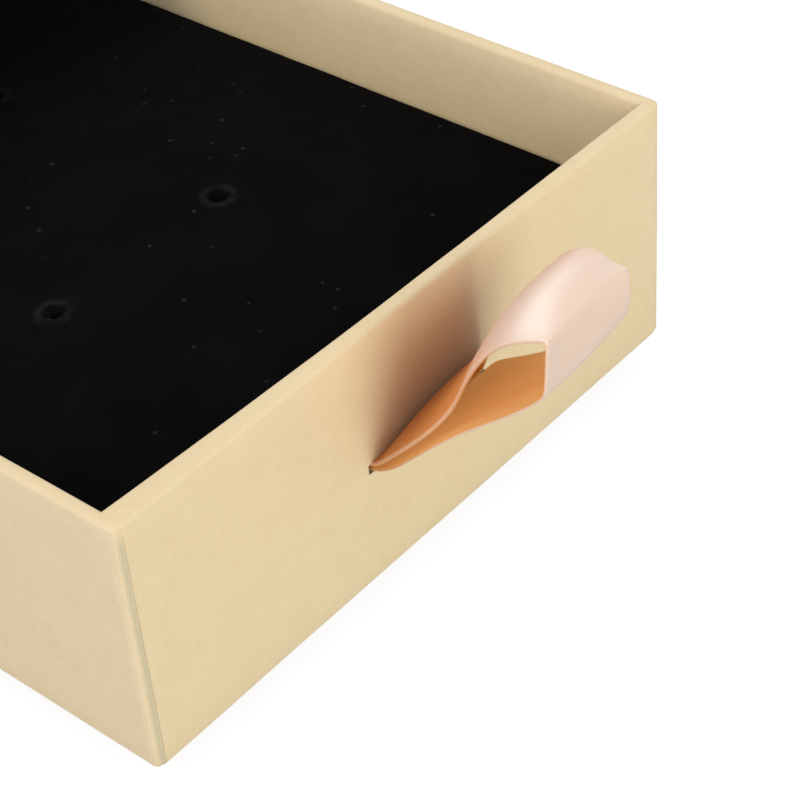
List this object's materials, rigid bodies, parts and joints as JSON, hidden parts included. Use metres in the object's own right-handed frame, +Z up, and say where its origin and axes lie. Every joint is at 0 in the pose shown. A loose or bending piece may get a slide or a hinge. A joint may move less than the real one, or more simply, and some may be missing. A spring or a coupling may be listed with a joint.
{
  "type": "sliding drawer gift box",
  "caption": "Small paper-covered rigid box: a drawer with a velvet pad and a ribbon pull slides in a sleeve open at the front.",
  "frame": {"origin": "centre of the sleeve's underside, on the surface that the box stands on", "axes": "+Z up, the drawer's front faces -Y and the drawer pulls out along -Y, +X to the right seen from the front"},
  "size_m": [0.0828, 0.2058, 0.0404],
  "materials": {
    "kraft_paper": "matte",
    "greyboard": "matte",
    "gummed_tape": "matte",
    "pad_foam": "matte",
    "black_velvet": "matte",
    "satin_ribbon": "satin"
  },
  "bodies": {
    "sleeve": {"sleeve_base_board": "greyboard", "sleeve_top_board": "greyboard", "sleeve_left_board": "greyboard", "sleeve_right_board": "greyboard", "sleeve_back_board": "greyboard", "sleeve_edge_stay_bottom_left": "gummed_tape", "sleeve_edge_stay_bottom_right": "gummed_tape", "sleeve_edge_stay_top_left": "gummed_tape", "sleeve_edge_stay_top_right": "gummed_tape", "sleeve_wrap": "kraft_paper", "sleeve_base_sheet": "kraft_paper", "sleeve_back_sheet": "kraft_paper"},
    "drawer": {"drawer_base_board": "greyboard", "drawer_front_board": "greyboard", "drawer_back_board": "greyboard", "drawer_left_board": "greyboard", "drawer_right_board": "greyboard", "drawer_corner_stay_front_left": "gummed_tape", "drawer_corner_stay_front_right": "gummed_tape", "drawer_corner_stay_back_left": "gummed_tape", "drawer_corner_stay_back_right": "gummed_tape", "drawer_wrap": "kraft_paper", "drawer_floor_sheet": "kraft_paper", "insert_foam": "pad_foam", "insert_velvet": "black_velvet", "ribbon_pull": "satin_ribbon", "ribbon_tail_patch": "kraft_paper"}
  },
  "joints": [
    {"name": "drawer_slide", "type": "slide", "parent": "sleeve", "child": "drawer", "axis": [0, -1, 0], "range_m": [-0.072, 0.04]}
  ]
}
